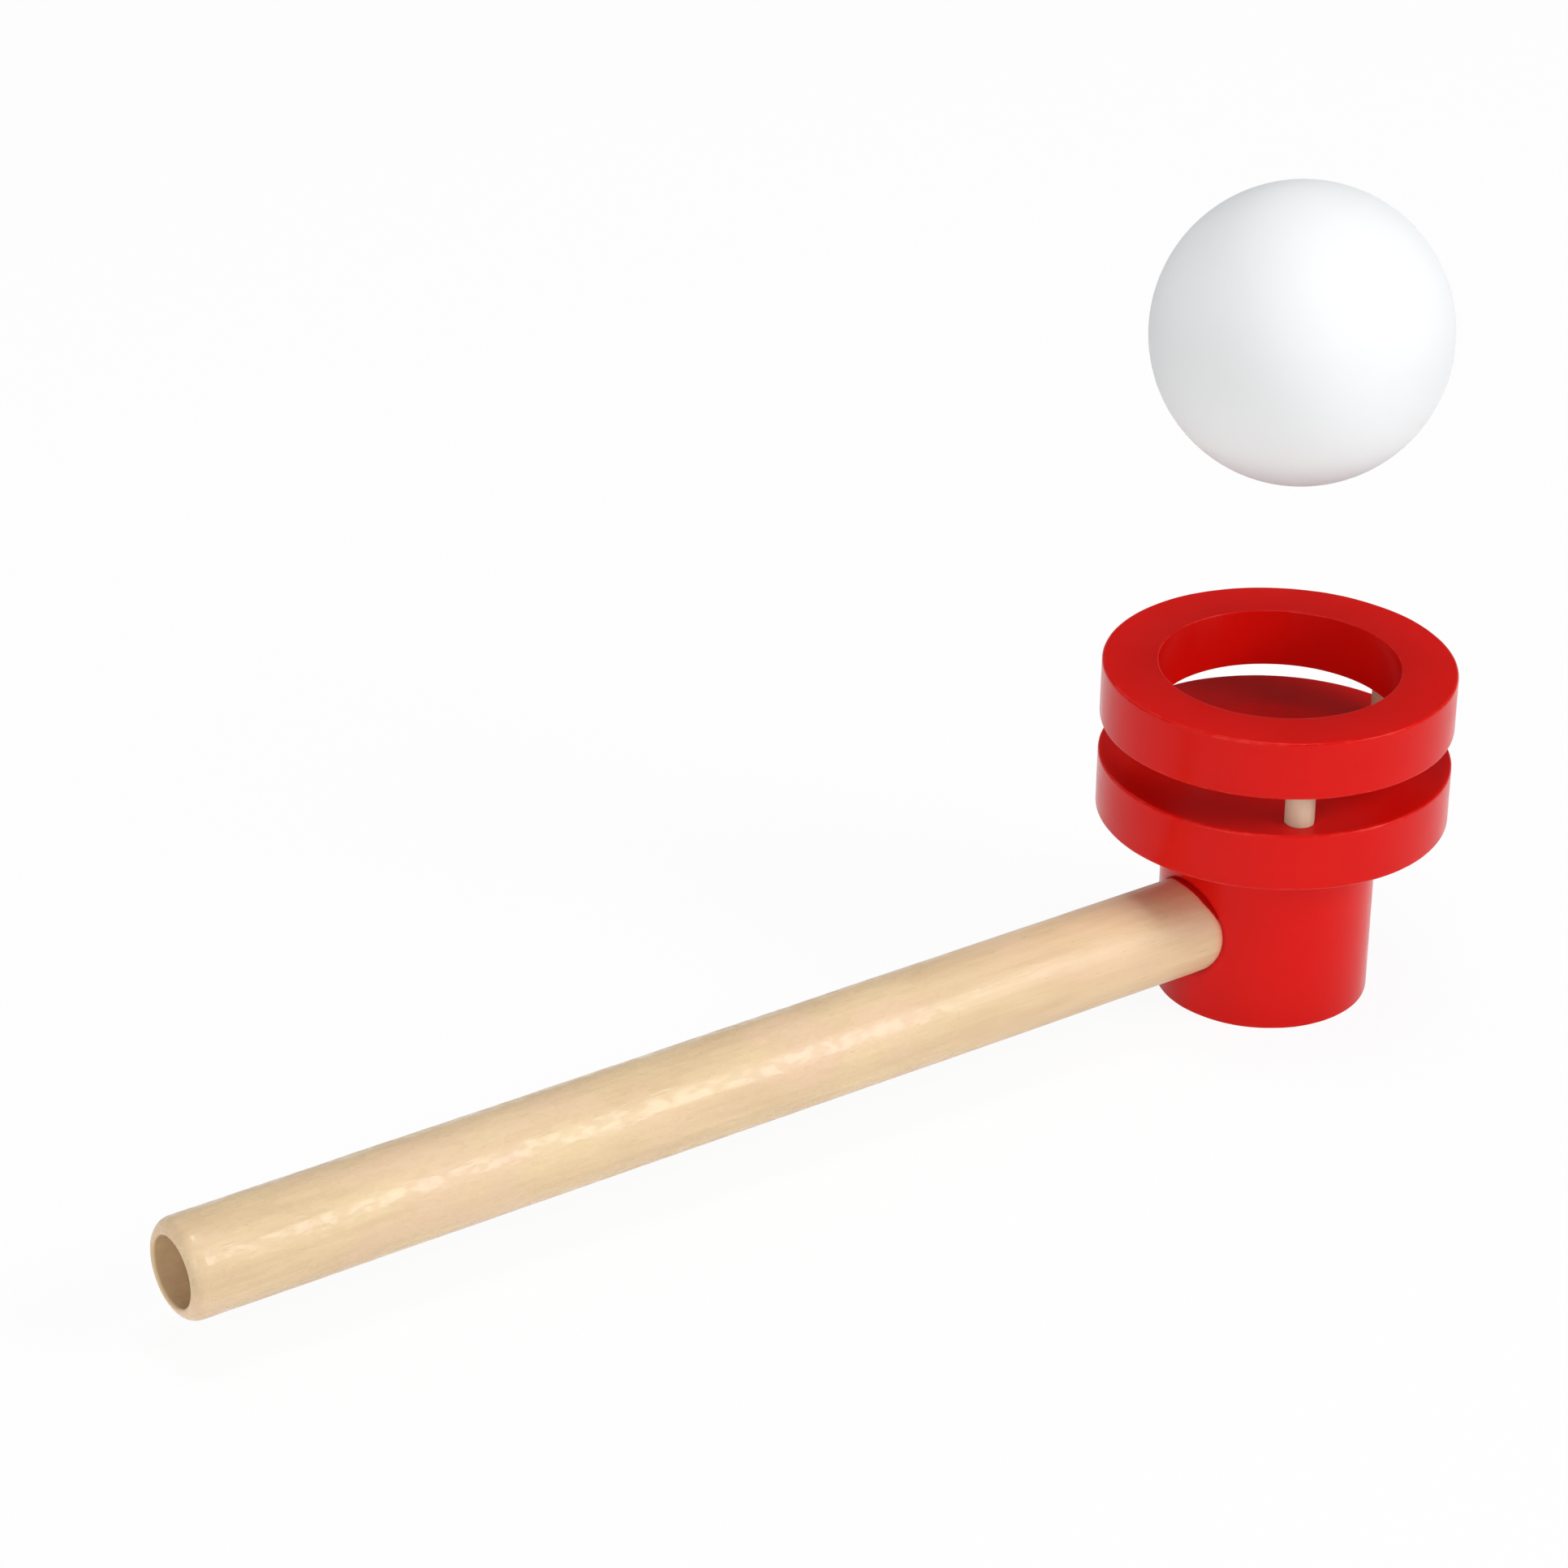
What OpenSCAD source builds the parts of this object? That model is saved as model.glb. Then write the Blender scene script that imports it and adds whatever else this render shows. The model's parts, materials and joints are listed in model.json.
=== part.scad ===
// Floating ball pipe toy: a wooden blow tube glued into the side of a red hub, whose upright jet carries
// a light ball above a ring on three pins.
// Millimetres. The origin is the centre of the hub's bottom face, +Z points up along the jet,
// and the blow tube leaves the hub along -X.

/* [Boss] */
// Diameter of the boss, the lower cylinder of the hub
boss_d = 22; // [20:0.5:32]
// Height of the boss
boss_h = 20; // [17:0.5:40]
// Diameter of the riser, the upright air passage in the boss
riser_d = 5; // [3:0.1:5.8]
// Diameter of the side passage from the stem's socket to the riser
side_passage_d = 6; // [5.9:0.1:6.8]
// How far the side passage is drilled past the riser's far wall
passage_overrun = 0.6; // [0.2:0.1:2]

/* [Disc] */
// Outside diameter of the disc on the boss and of the ring above it
flange_d = 36; // [34:0.5:48]
// Thickness of the disc
disc_t = 6.2; // [4.5:0.1:12]
// Diameter of the jet hole through the disc
jet_d = 4; // [2:0.1:5]

/* [Ring] */
// Thickness of the ring
ring_t = 6.2; // [4.5:0.1:12]
// Diameter of the hole in the ring, which is the ball's seat
ring_hole_d = 24.6; // [18:0.2:25.6]
// Height of the open gap between the disc and the ring
ring_gap = 4; // [2:0.1:12]

/* [Edges] */
// Rounding of the edges of the boss, the disc and the ring
edge_r = 0.25; // [0.1:0.05:1]

/* [Stem] */
// Outside diameter of the stem, the blow tube
stem_d = 10; // [9:0.1:12]
// Diameter of the bore of the stem
stem_bore_d = 7; // [6.9:0.1:7.6]
// Distance from the jet's axis to the mouth end of the stem, before that end is rounded
stem_reach = 128.3; // [60:0.1:200]
// Height of the stem's axis above the bottom of the boss
stem_z = 9.4; // [7:0.1:10.5]
// How far the stem goes into the side of the boss
socket_depth = 7; // [4:0.1:7.2]
// Rounding of the outside edge of the mouth end
mouth_r = 1.6; // [0.5:0.1:3]
// Rounding of the other edges of the stem
stem_edge_r = 0.3; // [0.1:0.05:0.5]

/* [Pins] */
// Diameter of a pin
pin_d = 3; // [2:0.1:3.6]
// How deep a pin sits in the disc and in the ring
pin_depth = 4; // [2:0.1:4.2]
// Wood left in the ring between its hole and a pin's hole
pin_wall = 1; // [0.6:0.1:1.4]
// Rounding of the ends of a pin
pin_edge_r = 0.3; // [0.1:0.05:0.5]

/* [Ball] */
// Diameter of the ball
ball_d = 30; // [26.5:0.5:40]
// Wall thickness of the hollow ball
ball_wall = 0.5; // [0.3:0.1:1.5]
// Height of the floating ball's lowest point above the ring
ball_float = 21; // [1:0.5:80]

/* [Fits] */
// Glue gap all round a stem or pin in its hole
glue_gap = 0.05; // [0.02:0.01:0.1]

/* [Hidden] */
$fn = 128;
// How far a cutter runs past the face that it cuts
past = 1;
// Each pin is a node of its own, so their number is fixed
pin_count = 3;
disc_z = boss_h;
ring_z = disc_z + disc_t + ring_gap;
ball_z = ring_z + ring_t + ball_float + ball_d / 2;
pin_len = ring_gap + 2 * pin_depth;
pin_z = disc_z + disc_t - pin_depth;
pin_circle_r = ring_hole_d / 2 + pin_wall + pin_d / 2;
pin_hole_d = pin_d + 2 * glue_gap;
socket_d = stem_d + 2 * glue_gap;
// Distance from the jet's axis to the inner end of the stem, which is the bottom of its socket
stem_start = boss_d / 2 - socket_depth;
wood = "#e2bf8d";
red = "#c41519";
white = "#eef0f0";

// Takes the sharp corner off a flat profile at the point "at". dir says which way the corner points.
module round_corner(at, dir, r) {
    translate(at)
        mirror([dir[0] < 0 ? 1 : 0, 0])
            mirror([0, dir[1] < 0 ? 1 : 0])
                difference() {
                    translate([-r, -r]) square(r + past);
                    translate([-r, -r]) circle(r);
                }
}

// A solid turned about Z, from radius r0 to r1 and from the ground up to h. r0 of 0 gives a plain round,
// without a hole. The outside edges are rounded by outer, the edges of the hole by inner.
module turned(r0, r1, h, outer, inner) {
    rotate_extrude()
        difference() {
            translate([r0, 0]) square([r1 - r0, h]);
            round_corner([r1, 0], [1, -1], outer[0]);
            round_corner([r1, h], [1, 1], outer[1]);
            if (r0 > 0) {
                round_corner([r0, 0], [-1, -1], inner[0]);
                round_corner([r0, h], [-1, 1], inner[1]);
            }
        }
}

// Lays something that stands on the XY plane down along -X, at the height of the stem
module along_stem(start) {
    translate([-start, 0, stem_z]) rotate([0, -90, 0]) children();
}

// Puts something at the place of one pin, or with no number at the places of all of them
module at_pins(numbers = [1:pin_count]) {
    for (n = numbers)
        rotate([0, 0, (n - 1) * 360 / pin_count])
            translate([pin_circle_r, 0, 0])
                children();
}

module stem() {
    color(wood)
        along_stem(stem_start)
            turned(stem_bore_d / 2, stem_d / 2, stem_reach - stem_start,
                [stem_edge_r, mouth_r], [stem_edge_r, stem_edge_r]);
}

module boss() {
    passage_len = stem_start + riser_d / 2 + passage_overrun;
    color(red)
        difference() {
            turned(0, boss_d / 2, boss_h, [edge_r, edge_r]);
            along_stem(stem_start) cylinder(d = socket_d, h = socket_depth + past);
            along_stem(stem_start - passage_len) cylinder(d = side_passage_d, h = passage_len + past);
            translate([0, 0, stem_z]) cylinder(d = riser_d, h = boss_h - stem_z + past);
        }
}

module disc() {
    color(red)
        translate([0, 0, disc_z])
            difference() {
                turned(jet_d / 2, flange_d / 2, disc_t, [edge_r, edge_r], [edge_r, edge_r]);
                at_pins() translate([0, 0, disc_t - pin_depth]) cylinder(d = pin_hole_d, h = pin_depth + past);
            }
}

module ring() {
    color(red)
        translate([0, 0, ring_z])
            difference() {
                turned(ring_hole_d / 2, flange_d / 2, ring_t, [edge_r, edge_r], [edge_r, edge_r]);
                at_pins() translate([0, 0, -past]) cylinder(d = pin_hole_d, h = pin_depth + past);
            }
}

module pin(number) {
    color(wood)
        at_pins([number])
            translate([0, 0, pin_z])
                turned(0, pin_d / 2, pin_len, [pin_edge_r, pin_edge_r]);
}

module ball() {
    color(white)
        translate([0, 0, ball_z])
            difference() {
                sphere(d = ball_d);
                sphere(d = ball_d - 2 * ball_wall);
            }
}

stem();
boss();
disc();
ring();
pin(1);  // pin_1
pin(2);  // pin_2
pin(3);  // pin_3
ball();
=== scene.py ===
import json
import math

import bmesh
import bpy
from mathutils import Matrix, Vector, noise


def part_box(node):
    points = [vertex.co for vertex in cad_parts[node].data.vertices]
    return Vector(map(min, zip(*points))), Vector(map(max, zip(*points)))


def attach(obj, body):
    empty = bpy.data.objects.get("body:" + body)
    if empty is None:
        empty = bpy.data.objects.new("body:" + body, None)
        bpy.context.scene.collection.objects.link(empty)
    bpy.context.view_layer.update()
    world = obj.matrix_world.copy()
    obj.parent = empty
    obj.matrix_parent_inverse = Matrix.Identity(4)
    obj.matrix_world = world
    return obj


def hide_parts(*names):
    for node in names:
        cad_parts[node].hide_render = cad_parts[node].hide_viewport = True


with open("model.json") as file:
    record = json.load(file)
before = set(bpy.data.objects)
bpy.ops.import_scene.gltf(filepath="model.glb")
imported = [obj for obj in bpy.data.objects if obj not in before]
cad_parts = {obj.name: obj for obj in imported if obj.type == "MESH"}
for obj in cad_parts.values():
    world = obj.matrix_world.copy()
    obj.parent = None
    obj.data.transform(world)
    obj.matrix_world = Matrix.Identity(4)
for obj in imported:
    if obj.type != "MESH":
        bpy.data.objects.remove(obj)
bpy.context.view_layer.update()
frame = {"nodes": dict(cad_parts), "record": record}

MM = 0.001
# The axes by number
X = 0
Z = 2

# The camera stands where the photograph was taken from. The origin's place is given
# to the right of the camera, above it and behind it.
IMAGE_SIDE = 1932
FOCAL_LENGTH_PX = 6243.806
SENSOR_WIDTH = 36.0
CAMERA_AZIMUTH = -35.1143
CAMERA_ELEVATION = 27.6399
CAMERA_ROLL = 0.8727
ORIGIN_FROM_CAMERA = Vector((49.687, -20.0205, -529.358)) * MM
CLIP_NEAR = 0.01
CLIP_FAR = 50.0

# Light and surroundings
LAMP_DISTANCE = 1.1
# The azimuth, elevation, size across and power of each lamp
LAMPS = {
    "key": (32.0, 30.0, 0.6, 6.9),
    "fill": (-65.0, 16.0, 0.75, 4.45),
    "top": (0.0, 89.0, 0.5, 4.65),
    "back": (185.0, 45.0, 0.75, 1.0),
}
# The even light that the surroundings give
SKY_LEVEL = 0.2
# The white walls darken to the ceiling's level from the horizon up to this height, where 1 is straight up
CEILING_HEIGHT = 0.35
CEILING_LEVEL = 0.1
FLOOR_SIZE = 12.0
FLOOR_COLOUR = (0.92, 0.92, 0.92)
# How much of the floor is plain white to the camera and a gloss. The rest shows the object's shadow.
FLOOR_GLOW = 0.93
WHITE = (1, 1, 1)

# Sizes that the boxes of the CAD model don't give. The first two round the outer rims and the holes' rims.
EDGE = 0.25 * MM
HOLE_EDGE = 0.12 * MM
GLUE_GAP = 0.05 * MM
PIN_DEPTH = 4.0 * MM
PIN_ROUNDING = 0.3 * MM
MOUTH_ROUNDING = 1.6 * MM
LIP_ROUNDING = 0.3 * MM
JET_RADIUS = 2.0 * MM
RISER_RADIUS = 2.5 * MM
SIDE_PASSAGE_RADIUS = 3.0 * MM
# The side passage ends this far past the jet's axis
SIDE_PASSAGE_END = 3.1 * MM
# How far a cutter runs past the face that it cuts
PAST = 1 * MM

# The rim of the stem's socket is cut back most at this angle from +Y towards +Z, less and less beside it,
# and by the least share of that on the far side
SOCKET_BEVEL = 0.5 * MM
SOCKET_BEVEL_SLOPE = 0.6
SOCKET_BEVEL_ANGLE = 112.0
SOCKET_BEVEL_FALL = 3
SOCKET_BEVEL_LEAST = 0.06

# Unevenness of what is turned and sanded by hand. A wave is the distance between uneven places.
EDGE_VARIATION = 0.35
RIM_WAVE = 0.35
RIM_RIPPLE = 0.07
RIM_RIPPLE_SHARE = 0.3
# The depth of each wave on the stem, and its length in millimetres
SANDING_WAVES = ((0.035 * MM, 5.0), (0.012 * MM, 1.6))
BORE_SANDING_SHARE = 0.3
PIN_VARIATION = 0.008
PIN_WAVE = 0.8
BALL_VARIATION = 0.0006
BALL_WAVE = 0.7
# Where a long piece reads its noise: the radius in millimetres, and the share of the length,
# which draws the waves out along it
STEM_NOISE = (5, 0.45)
PIN_NOISE = (1.5, 0.3)
# A seed moves the place where the noise is read by this much along X, Y and Z
SEED_STEPS = (7.3, 3.1, 5.7)
# The first seed of each piece. Where a piece is uneven in several ways, the next numbers follow.
RING_SEED = 11
DISC_SEED = 23
BOSS_SEED = 31
STEM_SEED = 41
PIN_SEED = 50
BALL_SEED = 61

# How finely the pieces are divided round their axes
FLANGE_SEGMENTS = 224
BOSS_SEGMENTS = 200
STEM_SEGMENTS = 128
PIN_SEGMENTS = 64
DRILL_SEGMENTS = 96
SOCKET_SEGMENTS = 128
SOCKET_BEVEL_STEPS = 4
BALL_CUTS = 47
# How finely the straight stretches and the roundings of a section are divided
FLANGE_FACE_STEPS = 14
FLANGE_SIDE_STEPS = 10
BOSS_FACE_STEPS = 10
BOSS_SIDE_STEPS = 48
STEM_SIDE_STEPS = 170
STEM_BORE_STEPS = 60
PIN_FACE_STEPS = 4
PIN_SIDE_STEPS = 30
ROUNDING_STEPS = 6
MOUTH_STEPS = 10
LIP_STEPS = 8
PIN_ROUNDING_STEPS = 4
# The first point of a straight stretch is this far from its end
SUPPORT = 0.06 * MM
# The faces that close the middle of a solid piece's ends have these radii
BOSS_CORE = 0.3 * MM
PIN_CORE = 0.1 * MM
# Edges sharper than this angle aren't shaded smooth
SHARP_ANGLE = 40

# Most of a noise lies between these
NOISE_SPAN = (0.3, 0.7)

# Red paint
RED = (0.645, 0.0043, 0.002)
BRIGHT_RED = (0.685, 0.005, 0.0027)
WORN_RED = (0.70, 0.03, 0.021)
# A darker red that paints the shade around the joint where the stem enters the boss
SHADED_RED = (0.45, 0.0035, 0.002)
RED_ROUGHNESS = (0.2, 0.27)
RED_SPECULAR = 0.15
PEEL_HEIGHT = 0.006 * MM
RED_FIBRE_HEIGHT = 0.002 * MM
# The painted shade by the stem fades over these distances from the stem, and over these shares of the boss's
# radius
JOINT_SHADE_FADE = (0.2 * MM, 0.6 * MM)
JOINT_SHADE_SIDE = (0.8, 0.7)

# Wood. Each kind has a light colour, a dark one and a blush, and a roughness where polished and where dull.
STEM_COLOURS = ((0.782, 0.597, 0.363), (0.691, 0.506, 0.307), (0.772, 0.552, 0.373))
STEM_ROUGHNESS = (0.19, 0.42)
PIN_COLOURS = ((0.665, 0.495, 0.355), (0.575, 0.415, 0.29), (0.635, 0.455, 0.335))
PIN_ROUGHNESS = (0.5, 0.65)
WOOD_SPECULAR = 0.31
PORE_SHADE = 0.6
DENT_HEIGHT = 0.02 * MM
WOOD_FIBRE_HEIGHT = 0.004 * MM
# Noise along the grain: its size across as a share of its length, that size, its detail and its shift
GRAIN = {
    "bands": (0.28, 3.4 * MM, 2.0, 0.0),
    "streaks": (0.05, 0.9 * MM, 3.0, 0.0),
    "fibres": (0.05, 0.2 * MM, 2.0, 0.0),
    "blush": (0.4, 4.5 * MM, 2.0, 0.3),
    "pores": (0.11, 0.17 * MM, 1.0, 0.0),
    "dents": (0.45, 1.4 * MM, 4.0, 0.7),
    "polish": (0.5, 0.8 * MM, 3.0, 0.9),
}

# The stem alone: its brown bore, its varnish, and the paint from the boss.
# The varnish is dull up to the first distance from the boss, and polished in full from the second on.
POLISH_RANGE = (4 * MM, 48 * MM)
BORE_BROWN = (0.66, 0.41, 0.2)
BORE_SHARE = 0.3
BORE_FADE = 0.3 * MM
# Paint reaches this far past the boss onto the stem, most at this angle from +Y towards +Z.
# It begins, and the run grows, between these cosines of the angle away from there.
PAINT_RUN = 0.35 * MM
PAINT_RUN_ANGLE = 105.0
PAINT_BEGINS = (0.58, 0.7)
PAINT_RUN_GROWS = (0.65, 0.97)
PAINT_WOBBLE = 0.2 * MM
PAINT_FADE = (0.05 * MM, 0.15 * MM)
STEM_RED = (0.56, 0.005, 0.003)
# Past the paint, a painted reflection of the red boss tints the wood over this distance
RED_REFLECTION_FADE = (0.2 * MM, 0.7 * MM)
RED_REFLECTION_SHARE = 0.6
REFLECTED_RED = (0.95, 0.33, 0.22)

# The ball
COOL_WHITE = (0.827, 0.845, 0.858)
WARM_WHITE = (0.842, 0.856, 0.863)
# A grey that paints shade on the ball's underside
SHADED_WHITE = (0.68, 0.695, 0.71)
# The painted shade on the underside fades between these heights above the ball's lowest point
UNDERSIDE_SHADE_FADE = (1.5 * MM, 7 * MM)
BALL_ROUGHNESS = (0.6, 0.68)
BALL_SPECULAR = 0.1
BALL_GRAIN_HEIGHT = 0.004 * MM


def node_box(name):
    """The lowest and highest corner of a node's box, and its middle"""
    low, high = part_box(name)
    return low, high, (low + high) / 2


stem_low, stem_high, stem_mid = node_box("stem")
boss_low, boss_high, _ = node_box("boss")
disc_low, disc_high, _ = node_box("disc")
ring_low, ring_high, ring_mid = node_box("ring")
ball_low, ball_high, ball_mid = node_box("ball")
pin_boxes = [node_box(name) for name in ("pin_1", "pin_2", "pin_3")]
stem_axis = (0, 0, stem_mid.z)
stem_radius = (stem_high.z - stem_low.z) / 2
pin_radius = (pin_boxes[0][1].x - pin_boxes[0][0].x) / 2
mounts = {m["name"]: m for m in frame["record"]["mounts"]}
bore_radius = mounts["mouth_bore"]["dims"]["r_mm"] * MM
ring_hole_radius = min(v.co.xy.length for v in frame["nodes"]["ring"].data.vertices)


# Nodes that the materials share

def new_material(name):
    material = bpy.data.materials.new(name)
    material.use_nodes = True
    material.node_tree.nodes.clear()
    return material, material.node_tree


def add_node(tree, kind, inputs=None, **settings):
    """Adds a node. A value in inputs that is a socket is linked, any other is set."""
    made = tree.nodes.new(kind)
    for name, value in settings.items():
        setattr(made, name, value)
    for name, value in (inputs or {}).items():
        if isinstance(value, bpy.types.NodeSocket):
            tree.links.new(value, made.inputs[name])
        else:
            made.inputs[name].default_value = value
    return made


def maths(tree, operation, *values):
    return add_node(tree, "ShaderNodeMath", dict(enumerate(values)), operation=operation).outputs[0]


def product(tree, first, second):
    return maths(tree, "MULTIPLY", first, second)


def weighted_sum(tree, *pairs):
    total = 0.0
    for value, weight in pairs:
        total = maths(tree, "MULTIPLY_ADD", value, weight, total)
    return total


def vector_maths(tree, operation, *values, output="Vector"):
    made = add_node(tree, "ShaderNodeVectorMath", dict(enumerate(values)), operation=operation)
    return made.outputs[output]


def stretched(tree, place, scale):
    return vector_maths(tree, "MULTIPLY", place, scale)


def from_axis(tree, place, along, point):
    """The distance from a line through the point, parallel to the axis of that number"""
    across = [1.0, 1.0, 1.0]
    across[along] = 0.0
    offset = vector_maths(tree, "SUBTRACT", place, point)
    return vector_maths(tree, "LENGTH", stretched(tree, offset, across), output="Value")


def remap(tree, value, low, high, to_low, to_high, smooth=False):
    """Spreads what lies between low and high from to_low to to_high, and is level beyond them"""
    inputs = {"Value": value, "From Min": low, "From Max": high, "To Min": to_low, "To Max": to_high}
    kind = "SMOOTHSTEP" if smooth else "LINEAR"
    return add_node(tree, "ShaderNodeMapRange", inputs, interpolation_type=kind).outputs[0]


def object_place(tree):
    """The place on the object at rest, in metres"""
    return add_node(tree, "ShaderNodeTexCoord").outputs["Object"]


def cloud(tree, place, size, detail=2.0):
    """Noise whose blobs are about the given size across, in metres"""
    inputs = {"Vector": place, "Scale": 1 / size, "Detail": detail}
    return add_node(tree, "ShaderNodeTexNoise", inputs).outputs["Fac"]


def mixed_colour(tree, share, first, second):
    """Each colour is a socket or three numbers."""
    made = add_node(tree, "ShaderNodeMix", data_type="RGBA")
    tree.links.new(share, made.inputs[0])
    for socket, value in zip([s for s in made.inputs if s.type == "RGBA"], (first, second)):
        if isinstance(value, bpy.types.NodeSocket):
            tree.links.new(value, socket)
        else:
            socket.default_value = (*value, 1)
    return next(s for s in made.outputs if s.type == "RGBA")


def bumped(tree, height, distance, normal=None):
    inputs = {"Height": height, "Distance": distance, "Strength": 1.0}
    if normal is not None:
        inputs["Normal"] = normal
    return add_node(tree, "ShaderNodeBump", inputs).outputs["Normal"]


def finish_material(tree, colour, roughness, normal, specular):
    shader = add_node(tree, "ShaderNodeBsdfPrincipled", {
        "Base Color": colour, "Roughness": roughness, "Normal": normal, "Specular IOR Level": specular})
    add_node(tree, "ShaderNodeOutputMaterial", {"Surface": shader.outputs[0]})


def seen_or_reflected(tree):
    """1 for what the camera, a gloss or something clear sees, and 0 for light on the object"""
    path = add_node(tree, "ShaderNodeLightPath").outputs
    seen = maths(tree, "MAXIMUM", path["Is Camera Ray"], path["Is Glossy Ray"])
    return maths(tree, "MAXIMUM", seen, path["Is Transmission Ray"])


# Camera, light and floor

def direction(azimuth, elevation):
    """The unit vector to a place at an azimuth and elevation. Azimuth 0 is in front, on the -Y side."""
    a = math.radians(azimuth)
    e = math.radians(elevation)
    return Vector((math.sin(a) * math.cos(e), -math.cos(a) * math.cos(e), math.sin(e)))


def make_camera():
    data = bpy.data.cameras.new("camera")
    data.sensor_fit = "HORIZONTAL"
    data.sensor_width = SENSOR_WIDTH
    data.lens = FOCAL_LENGTH_PX / IMAGE_SIDE * SENSOR_WIDTH
    data.clip_start = CLIP_NEAR
    data.clip_end = CLIP_FAR
    back = direction(CAMERA_AZIMUTH, CAMERA_ELEVATION)
    right = Vector((0, 0, 1)).cross(back).normalized()
    up = back.cross(right)
    turn = math.radians(CAMERA_ROLL)
    rolled_right = right * math.cos(turn) + up * math.sin(turn)
    rolled_up = up * math.cos(turn) - right * math.sin(turn)
    axes = Matrix((rolled_right, rolled_up, back)).transposed()
    camera = bpy.data.objects.new("camera", data)
    camera.matrix_world = Matrix.Translation(axes @ -ORIGIN_FROM_CAMERA) @ axes.to_4x4()
    bpy.context.scene.collection.objects.link(camera)
    bpy.context.scene.camera = camera


def make_world():
    """White walls under a darker ceiling, as the camera and a gloss see them. Diffuse light is even."""
    world = bpy.data.worlds.new("studio")
    world.use_nodes = True
    tree = world.node_tree
    tree.nodes.clear()
    place = add_node(tree, "ShaderNodeTexCoord").outputs["Generated"]
    height = add_node(tree, "ShaderNodeSeparateXYZ", {"Vector": place}).outputs["Z"]
    walls = remap(tree, height, 0.0, CEILING_HEIGHT, 1.0, CEILING_LEVEL, smooth=True)
    level = add_node(tree, "ShaderNodeMix", {"Factor": seen_or_reflected(tree), "A": SKY_LEVEL, "B": walls})
    sky = add_node(tree, "ShaderNodeBackground", {"Color": (*WHITE, 1), "Strength": level.outputs[0]})
    add_node(tree, "ShaderNodeOutputWorld", {"Surface": sky.outputs[0]})
    bpy.context.scene.world = world


def make_lamp(name, azimuth, elevation, size, power):
    data = bpy.data.lights.new(name, "AREA")
    data.shape = "DISK"
    data.size = size
    data.energy = power
    lamp = bpy.data.objects.new(name, data)
    toward = direction(azimuth, elevation)
    lamp.location = ring_mid + toward * LAMP_DISTANCE
    lamp.rotation_mode = "QUATERNION"
    lamp.rotation_quaternion = toward.to_track_quat("Z", "Y")
    bpy.context.scene.collection.objects.link(lamp)


def make_floor():
    half = FLOOR_SIZE / 2
    corners = [(-half, -half, 0), (half, -half, 0), (half, half, 0), (-half, half, 0)]
    mesh = bpy.data.meshes.new("floor")
    mesh.from_pydata(corners, [], [(0, 1, 2, 3)])
    floor = bpy.data.objects.new("floor", mesh)
    bpy.context.scene.collection.objects.link(floor)
    material, tree = new_material("floor_white")
    paper = add_node(tree, "ShaderNodeBsdfDiffuse", {"Color": (*FLOOR_COLOUR, 1)})
    glow = add_node(tree, "ShaderNodeEmission", {"Color": (*WHITE, 1), "Strength": 1.0})
    share = product(tree, seen_or_reflected(tree), FLOOR_GLOW)
    mixed = add_node(tree, "ShaderNodeMixShader", {0: share, 1: paper.outputs[0], 2: glow.outputs[0]})
    add_node(tree, "ShaderNodeOutputMaterial", {"Surface": mixed.outputs[0]})
    mesh.materials.append(material)


# Materials

def red_paint():
    """Gloss paint over turned wood, thinner along the rims, with painted shade around the joint where the
    stem enters the boss
    """
    material, tree = new_material("red_gloss_paint")
    place = object_place(tree)
    patches = remap(tree, cloud(tree, place, 9 * MM, 3.0), *NOISE_SPAN, 0.0, 1.0)
    colour = mixed_colour(tree, patches, RED, BRIGHT_RED)
    rim = add_node(tree, "ShaderNodeAttribute", attribute_name="rim").outputs["Fac"]
    worn = product(tree, rim, remap(tree, cloud(tree, place, 1.2 * MM), 0.45, 0.65, 0.0, 0.4))
    colour = mixed_colour(tree, worn, colour, WORN_RED)
    # Painted shade: the red is darkened on the boss around the stem, on the stem's side
    reach = from_axis(tree, place, X, stem_axis)
    near = remap(tree, reach, stem_radius + JOINT_SHADE_FADE[0], stem_radius + JOINT_SHADE_FADE[1], 1.0, 0.0)
    joint_shade = product(tree, near, remap(tree, cloud(tree, place, 4 * MM), 0.35, 0.65, 0.35, 0.8))
    side = add_node(tree, "ShaderNodeSeparateXYZ", {"Vector": place}).outputs["X"]
    facing = remap(tree, side, -JOINT_SHADE_SIDE[0] * boss_high.x, -JOINT_SHADE_SIDE[1] * boss_high.x, 1.0, 0.0)
    colour = mixed_colour(tree, product(tree, joint_shade, facing), colour, SHADED_RED)
    peel = cloud(tree, place, 1.1 * MM, 1.0)
    fibres = cloud(tree, stretched(tree, place, (0.08, 1, 1)), 0.5 * MM)
    normal = bumped(tree, peel, PEEL_HEIGHT)
    normal = bumped(tree, fibres, RED_FIBRE_HEIGHT, normal)
    roughness = remap(tree, cloud(tree, place, 2.5 * MM), *NOISE_SPAN, *RED_ROUGHNESS)
    finish_material(tree, colour, roughness, normal, RED_SPECULAR)
    return material


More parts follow.
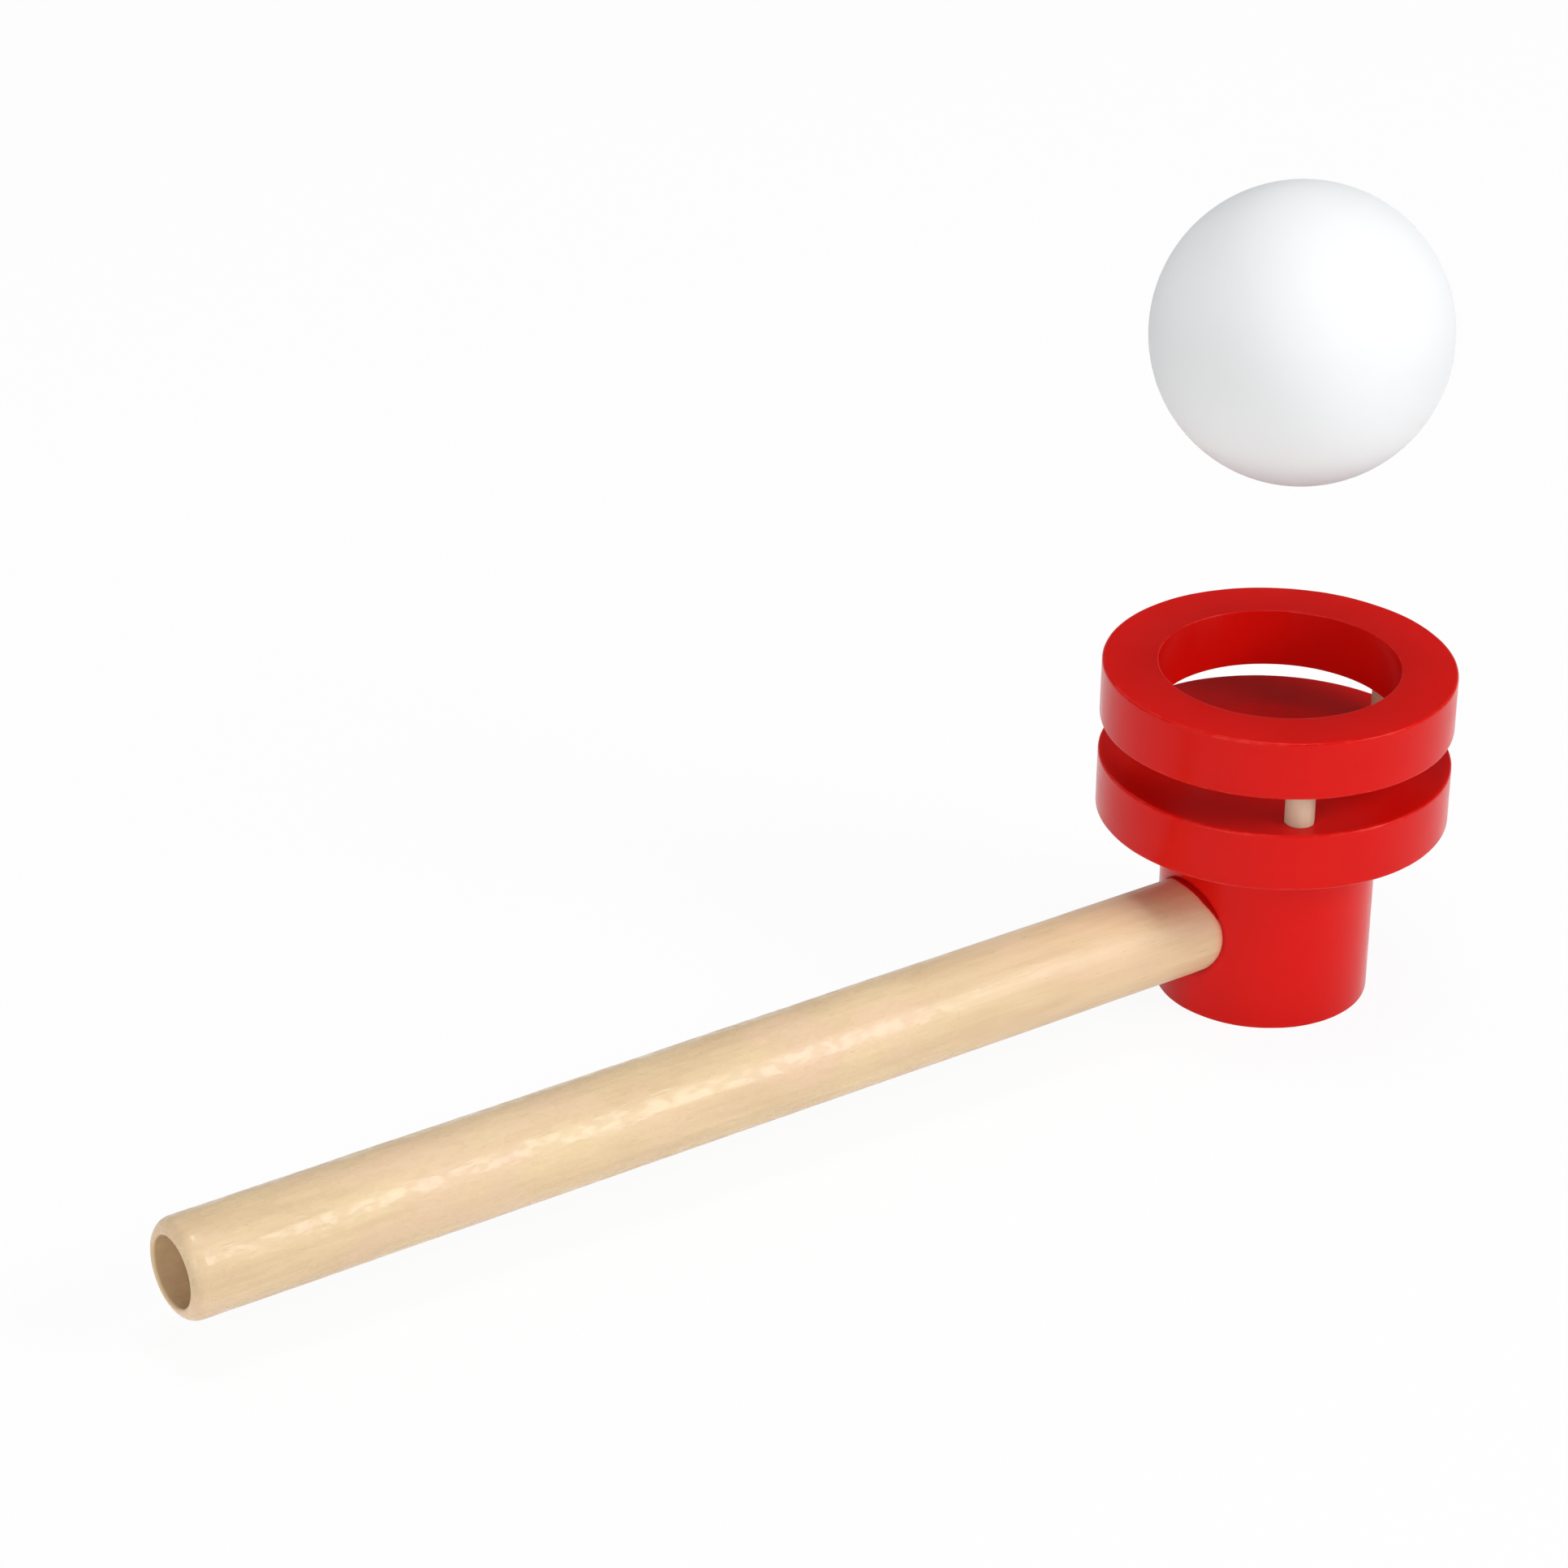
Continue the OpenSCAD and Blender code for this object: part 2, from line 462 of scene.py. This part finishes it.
def stem_stains_and_red_reflection(tree, place, past_boss, colour):
    """A brown bore, paint that has run onto the stem, and past it a painted reflection of the red boss on the
    wood
    """
    reach = from_axis(tree, place, X, stem_axis)
    inside = remap(tree, reach, bore_radius, bore_radius + BORE_FADE, BORE_SHARE, 0.0)
    colour = mixed_colour(tree, inside, colour, BORE_BROWN)
    turn = math.radians(PAINT_RUN_ANGLE)
    facing = Vector((0, math.cos(turn), math.sin(turn))) / stem_radius
    offset = vector_maths(tree, "SUBTRACT", place, stem_axis)
    above = vector_maths(tree, "DOT_PRODUCT", offset, facing, output="Value")
    run = remap(tree, above, *PAINT_RUN_GROWS, 0.0, PAINT_RUN, smooth=True)
    wobble = cloud(tree, place, 1 * MM)
    past_paint = weighted_sum(tree, (past_boss, 1.0), (run, -1.0), (wobble, PAINT_WOBBLE))
    # Painted reflection: a pink tint of the red boss on the wood just past the paint
    red_reflection = remap(tree, past_paint, boss_high.x + RED_REFLECTION_FADE[0], boss_high.x + RED_REFLECTION_FADE[1], RED_REFLECTION_SHARE, 0.0)
    colour = mixed_colour(tree, red_reflection, colour, REFLECTED_RED)
    painted = remap(tree, past_paint, boss_high.x + PAINT_FADE[0], boss_high.x + PAINT_FADE[1], 1.0, 0.0)
    painted = product(tree, painted, remap(tree, above, *PAINT_BEGINS, 0.0, 1.0))
    return mixed_colour(tree, painted, colour, STEM_RED)


def wood(name, along, colours, roughness_range, is_stem=False):
    """Pale straight-grained wood. along is the number of the axis that the grain follows."""
    light, dark, blush = colours
    material, tree = new_material(name)
    place = object_place(tree)

    def grain(kind):
        share, size, detail, shift = GRAIN[kind]
        scale = [1.0, 1.0, 1.0]
        scale[along] = share
        moved = vector_maths(tree, "ADD", place, (shift, shift, shift))
        return cloud(tree, stretched(tree, moved, scale), size, detail)

    fibres = grain("fibres")
    tone = weighted_sum(tree, (grain("bands"), 0.45), (grain("streaks"), 0.37), (fibres, 0.18))
    colour = mixed_colour(tree, remap(tree, tone, 0.39, 0.61, 0.0, 1.0), dark, light)
    flush = remap(tree, grain("blush"), 0.46, 0.66, 0.0, 0.7, smooth=True)
    colour = mixed_colour(tree, flush, colour, blush)
    pores = remap(tree, grain("pores"), 0.71, 0.79, 0.0, 0.4)
    colour = mixed_colour(tree, pores, colour, tuple(PORE_SHADE * c for c in dark))
    dents = remap(tree, grain("dents"), 0.4, 0.6, 0.0, 1.0, smooth=True)
    polished = remap(tree, grain("polish"), 0.44, 0.56, 0.0, 1.0)
    if is_stem:
        past_boss = from_axis(tree, place, Z, (0, 0, 0))
        colour = stem_stains_and_red_reflection(tree, place, past_boss, colour)
        # A polishing cloth reaches less well beside the boss
        near, far = POLISH_RANGE
        reached = remap(tree, past_boss, boss_high.x + near, boss_high.x + far, 0.0, 1.0)
        polished = product(tree, polished, reached)
    normal = bumped(tree, dents, DENT_HEIGHT)
    normal = bumped(tree, fibres, WOOD_FIBRE_HEIGHT, normal)
    glossy, dull = roughness_range
    roughness = remap(tree, polished, 0.0, 1.0, dull, glossy)
    finish_material(tree, colour, roughness, normal, WOOD_SPECULAR)
    return material


def white_shell():
    """A satin white shell, with painted shade that makes it greyer underneath"""
    material, tree = new_material("white_shell")
    place = object_place(tree)
    patches = remap(tree, cloud(tree, place, 12 * MM), *NOISE_SPAN, 0.0, 1.0)
    colour = mixed_colour(tree, patches, COOL_WHITE, WARM_WHITE)
    height = add_node(tree, "ShaderNodeSeparateXYZ", {"Vector": place}).outputs["Z"]
    # Painted shade: the ball turns greyer towards its underside
    start, end = UNDERSIDE_SHADE_FADE
    underside_shade = remap(tree, height, ball_low.z + start, ball_low.z + end, 1.0, 0.0, smooth=True)
    colour = mixed_colour(tree, underside_shade, colour, SHADED_WHITE)
    normal = bumped(tree, cloud(tree, place, 1.5 * MM), BALL_GRAIN_HEIGHT)
    roughness = remap(tree, cloud(tree, place, 3 * MM), *NOISE_SPAN, *BALL_ROUGHNESS)
    finish_material(tree, colour, roughness, normal, BALL_SPECULAR)
    return material


# Mesh tools. A section is a list of points (radius, height, rim share), and the share is 1 where paint wears.

def uneven(place, size, seed):
    """Smooth unevenness from -1 to 1 over places about size apart"""
    return noise.noise(Vector(place) / size + Vector([seed * step for step in SEED_STEPS]))


def noise_spot(angle, height, radius, along):
    """Where the noise is read for a point on a long round piece. The radius is in millimetres."""
    return (math.cos(angle) * radius, math.sin(angle) * radius, height / MM * along)


def rounding(centre, radius, start, end, steps=ROUNDING_STEPS):
    points = []
    for k in range(steps + 1):
        a = math.radians(start + (end - start) * k / steps)
        points.append((centre[0] + radius * math.cos(a), centre[1] + radius * math.sin(a), 1.0))
    return points


def straight(start, end, count):
    """Starts and ends close to its ends, which keeps a flat face's shading flat beside a rounding"""
    start = Vector(start)
    end = Vector(end)
    step = (end - start).normalized() * SUPPORT
    first = start + step
    last = end - step
    return [(*first.lerp(last, k / (count - 1)), 0.0) for k in range(count)]


def skin(name, rings, looped):
    """A mesh through rings of (point, rim share). One that isn't looped closes with a face at each end."""
    count = len(rings[0])
    faces = []
    for k in range(len(rings) if looped else len(rings) - 1):
        a = k * count
        b = (k + 1) % len(rings) * count
        for j in range(count):
            n = (j + 1) % count
            faces.append((a + j, a + n, b + n, b + j))
    if not looped:
        faces.append(tuple(range(count)))
        faces.append(tuple(range(len(rings) * count - count, len(rings) * count)))
    mesh = bpy.data.meshes.new(name)
    mesh.from_pydata([point for ring in rings for point, share in ring], [], faces)
    shares = mesh.attributes.new("rim", "FLOAT", "POINT")
    shares.data.foreach_set("value", [share for ring in rings for point, share in ring])
    made = bmesh.new()
    made.from_mesh(mesh)
    bmesh.ops.recalc_face_normals(made, faces=made.faces)
    made.to_mesh(mesh)
    made.free()
    piece = bpy.data.objects.new(name, mesh)
    bpy.context.scene.collection.objects.link(piece)
    return piece


def turned(name, section_at, segments, place=Matrix.Identity(4), looped=True):
    """A solid turned about Z. section_at(angle) gives its section at that angle."""
    sections = []
    for j in range(segments):
        angle = 2 * math.pi * j / segments
        sections.append([(place @ Vector((r * math.cos(angle), r * math.sin(angle), h)), share)
                         for r, h, share in section_at(angle)])
    return skin(name, list(zip(*sections)), looped)


def drill(name, radius, start, end, place=Matrix.Identity(4)):
    """A round cutter along Z from start to end"""
    section = [(radius, start, 0.0), (radius, end, 0.0)]
    return turned(name, lambda angle: section, DRILL_SEGMENTS, place, looped=False)


def cut(piece, *cutters):
    """Cuts the cutters' shapes out of a piece, and deletes the cutters"""
    for cutter in cutters:
        step = piece.modifiers.new("cut", "BOOLEAN")
        step.operation = "DIFFERENCE"
        step.solver = "EXACT"
        step.object = cutter
    shape = piece.evaluated_get(bpy.context.evaluated_depsgraph_get())
    mesh = bpy.data.meshes.new_from_object(shape)
    piece.modifiers.clear()
    piece.data = mesh
    for cutter in cutters:
        bpy.data.objects.remove(cutter)


def dress(piece, material, body, node):
    """Shades a finished piece and puts it in its node's place"""
    mesh = piece.data
    mesh.polygons.foreach_set("use_smooth", [True] * len(mesh.polygons))
    mesh.set_sharp_from_angle(angle=math.radians(SHARP_ANGLE))
    mesh.materials.clear()
    mesh.materials.append(material)
    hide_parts(node)
    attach(piece, body)


# Pieces

def rim_at(angle, size, seed):
    """The rounding of a rim at an angle round it, a little uneven as on hand-sanded wood"""
    point = (math.cos(angle), math.sin(angle), 0.0)
    variation = uneven(point, RIM_WAVE, seed) + RIM_RIPPLE_SHARE * uneven(point, RIM_RIPPLE, seed)
    return size * (1 + EDGE_VARIATION * variation)


def flange(name, inner, outer, low, high, seed):
    """A flat ring between two radii and two heights, with rounded rims"""
    def section(angle):
        a = rim_at(angle, HOLE_EDGE, seed)
        b = rim_at(angle, EDGE, seed + 1)
        c = rim_at(angle, EDGE, seed + 2)
        d = rim_at(angle, HOLE_EDGE, seed + 3)
        points = straight((inner + a, low), (outer - b, low), FLANGE_FACE_STEPS)
        points += rounding((outer - b, low + b), b, -90, 0)
        points += straight((outer, low + b), (outer, high - c), FLANGE_SIDE_STEPS)
        points += rounding((outer - c, high - c), c, 0, 90)
        points += straight((outer - c, high), (inner + d, high), FLANGE_FACE_STEPS)
        points += rounding((inner + d, high - d), d, 90, 180)
        points += straight((inner, high - d), (inner, low + a), FLANGE_SIDE_STEPS)
        points += rounding((inner + a, low + a), a, 180, 270)
        return points
    return turned(name, section, FLANGE_SEGMENTS)


def pin_drills(low, high):
    return [drill("pin_drill", pin_radius + GLUE_GAP, low, high, Matrix.Translation((mid.x, mid.y, 0)))
            for _, _, mid in pin_boxes]


def make_ring(material):
    piece = flange("top_ring", ring_hole_radius, ring_high.x, ring_low.z, ring_high.z, RING_SEED)
    cut(piece, *pin_drills(ring_low.z - PAST, ring_low.z + PIN_DEPTH))
    dress(piece, material, "pipe", "ring")


def make_disc(material):
    piece = flange("disc_plate", JET_RADIUS, disc_high.x, disc_low.z, disc_high.z, DISC_SEED)
    cut(piece, *pin_drills(disc_high.z - PIN_DEPTH, disc_high.z + PAST))
    dress(piece, material, "pipe", "disc")


def socket_cutter():
    """The stem's socket. Its rim is bevelled, most on one side, and the cutter runs on outside the boss."""
    radius = stem_radius + GLUE_GAP
    outer = boss_high.x
    lines = []
    for j in range(SOCKET_SEGMENTS):
        angle = 2 * math.pi * j / SOCKET_SEGMENTS
        share = max(0.0, math.cos(angle - math.radians(SOCKET_BEVEL_ANGLE))) ** SOCKET_BEVEL_FALL
        bevel = SOCKET_BEVEL * (SOCKET_BEVEL_LEAST + (1 - SOCKET_BEVEL_LEAST) * share)
        wall = Vector((stem_high.x, radius * math.cos(angle), stem_mid.z + radius * math.sin(angle)))
        line = [(wall, 0.0)]
        # The bevel runs one step past the boss's surface
        for k in range(SOCKET_BEVEL_STEPS + 2):
            reach = radius + bevel * k / SOCKET_BEVEL_STEPS
            depth = bevel * SOCKET_BEVEL_SLOPE * (1 - k / SOCKET_BEVEL_STEPS)
            y = reach * math.cos(angle)
            z = stem_mid.z + reach * math.sin(angle)
            line.append((Vector((depth - math.sqrt(outer ** 2 - y ** 2), y, z)), 0.0))
        line.append((Vector((-outer - 3 * PAST, y, z)), 0.0))
        lines.append(line)
    return skin("socket_cutter", list(zip(*lines)), looped=False)


def make_boss(material):
    outer = boss_high.x

    def section(angle):
        b = rim_at(angle, EDGE, BOSS_SEED)
        c = rim_at(angle, EDGE, BOSS_SEED + 1)
        points = straight((BOSS_CORE, boss_low.z), (outer - b, boss_low.z), BOSS_FACE_STEPS)
        points += rounding((outer - b, boss_low.z + b), b, -90, 0)
        points += straight((outer, boss_low.z + b), (outer, boss_high.z - c), BOSS_SIDE_STEPS)
        points += rounding((outer - c, boss_high.z - c), c, 0, 90)
        points += straight((outer - c, boss_high.z), (BOSS_CORE, boss_high.z), BOSS_FACE_STEPS)
        return points
    piece = turned("boss_body", section, BOSS_SEGMENTS, looped=False)
    lying = Matrix.Translation((0, 0, stem_mid.z)) @ Matrix.Rotation(math.radians(90), 4, "Y")
    passage = drill("passage_drill", SIDE_PASSAGE_RADIUS, stem_high.x - PAST, SIDE_PASSAGE_END, lying)
    riser = drill("riser_drill", RISER_RADIUS, stem_mid.z, boss_high.z + PAST)
    cut(piece, socket_cutter(), passage, riser)
    dress(piece, material, "pipe", "boss")


def make_stem(material):
    length = stem_high.x - stem_low.x
    edge = LIP_ROUNDING
    lip_radius = bore_radius + edge
    # The lip's two roundings meet where the line through their centres runs on
    across = lip_radius - (stem_radius - MOUTH_ROUNDING)
    rise = math.sqrt((MOUTH_ROUNDING - edge) ** 2 - across ** 2)
    meet = math.degrees(math.atan2(rise, across))
    shoulder = length - edge - rise

    def section(angle):
        points = rounding((stem_radius - edge, edge), edge, -90, 0)
        points += straight((stem_radius, edge), (stem_radius, shoulder), STEM_SIDE_STEPS)
        points += rounding((stem_radius - MOUTH_ROUNDING, shoulder), MOUTH_ROUNDING, 0, meet, MOUTH_STEPS)
        points += rounding((lip_radius, length - edge), edge, meet, 180, LIP_STEPS)[1:]
        points += straight((bore_radius, length - edge), (bore_radius, edge), STEM_BORE_STEPS)
        points += rounding((lip_radius, edge), edge, 180, 270)
        shaped = []
        for r, h, share in points:
            spot = noise_spot(angle, h, *STEM_NOISE)
            sanding = sum(depth * uneven(spot, wave, STEM_SEED + k)
                          for k, (depth, wave) in enumerate(SANDING_WAVES))
            shaped.append((r + (sanding if r > lip_radius else BORE_SANDING_SHARE * sanding), h, share))
        return shaped
    lying = Matrix.Translation((stem_high.x, 0, stem_mid.z)) @ Matrix.Rotation(math.radians(-90), 4, "Y")
    piece = turned("stem_tube", section, STEM_SEGMENTS, lying)
    dress(piece, material, "pipe", "stem")


def make_pin(material, number, low, high, mid):
    edge = PIN_ROUNDING
    steps = PIN_ROUNDING_STEPS

    def section(angle):
        points = straight((PIN_CORE, low.z), (pin_radius - edge, low.z), PIN_FACE_STEPS)
        points += rounding((pin_radius - edge, low.z + edge), edge, -90, 0, steps)
        points += straight((pin_radius, low.z + edge), (pin_radius, high.z - edge), PIN_SIDE_STEPS)
        points += rounding((pin_radius - edge, high.z - edge), edge, 0, 90, steps)
        points += straight((pin_radius - edge, high.z), (PIN_CORE, high.z), PIN_FACE_STEPS)
        shaped = []
        for r, h, share in points:
            variation = uneven(noise_spot(angle, h, *PIN_NOISE), PIN_WAVE, PIN_SEED + number)
            shaped.append((r * (1 + PIN_VARIATION * variation), h, share))
        return shaped
    place = Matrix.Translation((mid.x, mid.y, 0))
    piece = turned(f"pin_dowel_{number}", section, PIN_SEGMENTS, place, looped=False)
    dress(piece, material, "pipe", f"pin_{number}")


def make_ball(material):
    radius = (ball_high.z - ball_low.z) / 2
    made = bmesh.new()
    bmesh.ops.create_cube(made, size=2.0)
    bmesh.ops.subdivide_edges(made, edges=made.edges, cuts=BALL_CUTS, use_grid_fill=True)
    for v in made.verts:
        # The tangent spreads the points of the cube's faces evenly over the sphere
        spot = Vector([math.tan(c * math.pi / 4) for c in v.co]).normalized()
        # The ball is uneven inwards alone, so it stays inside its node's box
        v.co = ball_mid + spot * radius * (1 - BALL_VARIATION * (1 + uneven(spot, BALL_WAVE, BALL_SEED)))
    mesh = bpy.data.meshes.new("float_ball")
    made.to_mesh(mesh)
    made.free()
    piece = bpy.data.objects.new("float_ball", mesh)
    bpy.context.scene.collection.objects.link(piece)
    dress(piece, material, "floating_ball", "ball")


bpy.context.scene.view_settings.view_transform = "Standard"
make_camera()
make_world()
for name, lamp in LAMPS.items():
    make_lamp(name, *lamp)
make_floor()

paint = red_paint()
stem_wood = wood("satin_stem_wood", X, STEM_COLOURS, STEM_ROUGHNESS, is_stem=True)
pin_wood = wood("dowel_wood", Z, PIN_COLOURS, PIN_ROUGHNESS)
make_stem(stem_wood)
make_boss(paint)
make_disc(paint)
make_ring(paint)
for number, box in enumerate(pin_boxes, 1):
    make_pin(pin_wood, number, *box)
make_ball(white_shell())
